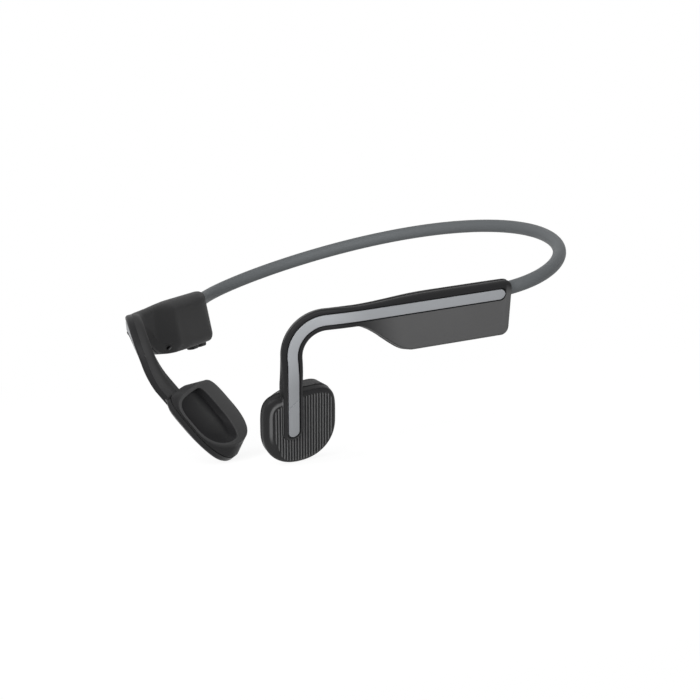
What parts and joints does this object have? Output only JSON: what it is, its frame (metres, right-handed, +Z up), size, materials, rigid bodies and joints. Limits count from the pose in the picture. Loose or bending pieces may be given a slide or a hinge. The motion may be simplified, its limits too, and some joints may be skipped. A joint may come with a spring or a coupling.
{
  "type": "bone conduction headphones",
  "caption": "Open-ear bone conduction headphones: a sprung neckband joins ear-hook housings with ribbed skin pods; keys press, the charging flap opens and the band flexes.",
  "frame": {"origin": "on the mid-plane at the ear line, level with the middle of the light strips along the housings", "axes": "+Z up as worn, -Y the way the wearer faces, +X the wearer's left"},
  "size_m": [0.129, 0.1304, 0.0587],
  "materials": {
    "housing_grey": "fine matte",
    "housing_black": "fine matte",
    "strip_grey": "satin",
    "band_silicone": "satin silicone",
    "seal_rubber": "matte",
    "spring_wire": "drawn wire",
    "cable_jacket": "matte",
    "steel": "stamped",
    "magnet_plating": "nickel plated",
    "copper_winding": "enamelled wire",
    "inner_plastic": "moulded",
    "cell_foil": "foil pouch",
    "circuit_board": "solder mask",
    "foam": "foam",
    "ceramic": "ceramic chip",
    "chip_case": "plated can",
    "light_lens": "clear lens"
  },
  "bodies": {
    "left_side": {"neckband_sleeve": "band_silicone", "neckband_spring": "spring_wire", "neckband_cable": "cable_jacket", "left_outer_shell": "housing_grey", "left_inner_shell": "housing_black", "left_housing_gasket": "seal_rubber", "left_strip": "strip_grey", "left_hook_spring": "spring_wire", "left_hook_cable": "cable_jacket", "left_band_anchor": "steel", "left_pod_cover": "housing_grey", "left_pod_gasket": "seal_rubber", "left_pod_body": "housing_black", "left_transducer_frame": "steel", "left_spring_plate": "steel", "left_yoke": "steel", "left_magnet": "magnet_plating", "left_pole_plate": "steel", "left_coil": "copper_winding", "left_coil_holder": "inner_plastic", "battery": "cell_foil", "battery_board": "circuit_board", "battery_pad": "foam", "multifunction_switch": "steel", "multifunction_board": "circuit_board"},
    "right_side": {"right_outer_shell": "housing_grey", "right_inner_shell": "housing_black", "right_housing_gasket": "seal_rubber", "right_strip": "strip_grey", "right_hook_spring": "spring_wire", "right_hook_cable": "cable_jacket", "right_band_anchor": "steel", "right_pod_cover": "housing_grey", "right_pod_gasket": "seal_rubber", "right_pod_body": "housing_black", "right_transducer_frame": "steel", "right_spring_plate": "steel", "right_yoke": "steel", "right_magnet": "magnet_plating", "right_pole_plate": "steel", "right_coil": "copper_winding", "right_coil_holder": "inner_plastic", "board_carrier": "inner_plastic", "main_board": "circuit_board", "shield_can": "steel", "usb_socket": "steel", "volume_switches": "steel", "antenna": "ceramic", "microphone": "chip_case", "microphone_mesh": "steel", "status_light": "light_lens"},
    "multifunction_key": {"multifunction_key": "strip_grey"},
    "volume_up_key": {"volume_up_key": "housing_black"},
    "volume_down_key": {"volume_down_key": "housing_black"},
    "usb_cover": {"usb_cover": "seal_rubber"}
  },
  "joints": [
    {"name": "band_flex", "type": "hinge", "parent": "left_side", "child": "right_side", "pos_m": [0, 0.112, 0.015], "axis": [0, 0, -1], "range_deg": [-5, 40], "stiffness_Nm_per_rad": 0.17, "deforming": ["neckband_sleeve", "neckband_spring", "neckband_cable"]},
    {"name": "multifunction_press", "type": "slide", "parent": "left_side", "child": "multifunction_key", "axis": [-0.7884, 0.3026, 0.5356], "range_m": [0, 0.00035], "stiffness_N_per_m": 900},
    {"name": "volume_up_press", "type": "slide", "parent": "right_side", "child": "volume_up_key", "axis": [0, 0, 1], "range_m": [0, 0.00035], "stiffness_N_per_m": 900},
    {"name": "volume_down_press", "type": "slide", "parent": "right_side", "child": "volume_down_key", "axis": [0, 0, 1], "range_m": [0, 0.00035], "stiffness_N_per_m": 900},
    {"name": "charging_flap", "type": "hinge", "parent": "right_side", "child": "usb_cover", "pos_m": [-0.04703, 0.01788, -0.0118], "axis": [-0.9323, -0.3616, 0], "range_deg": [0, 110]}
  ]
}
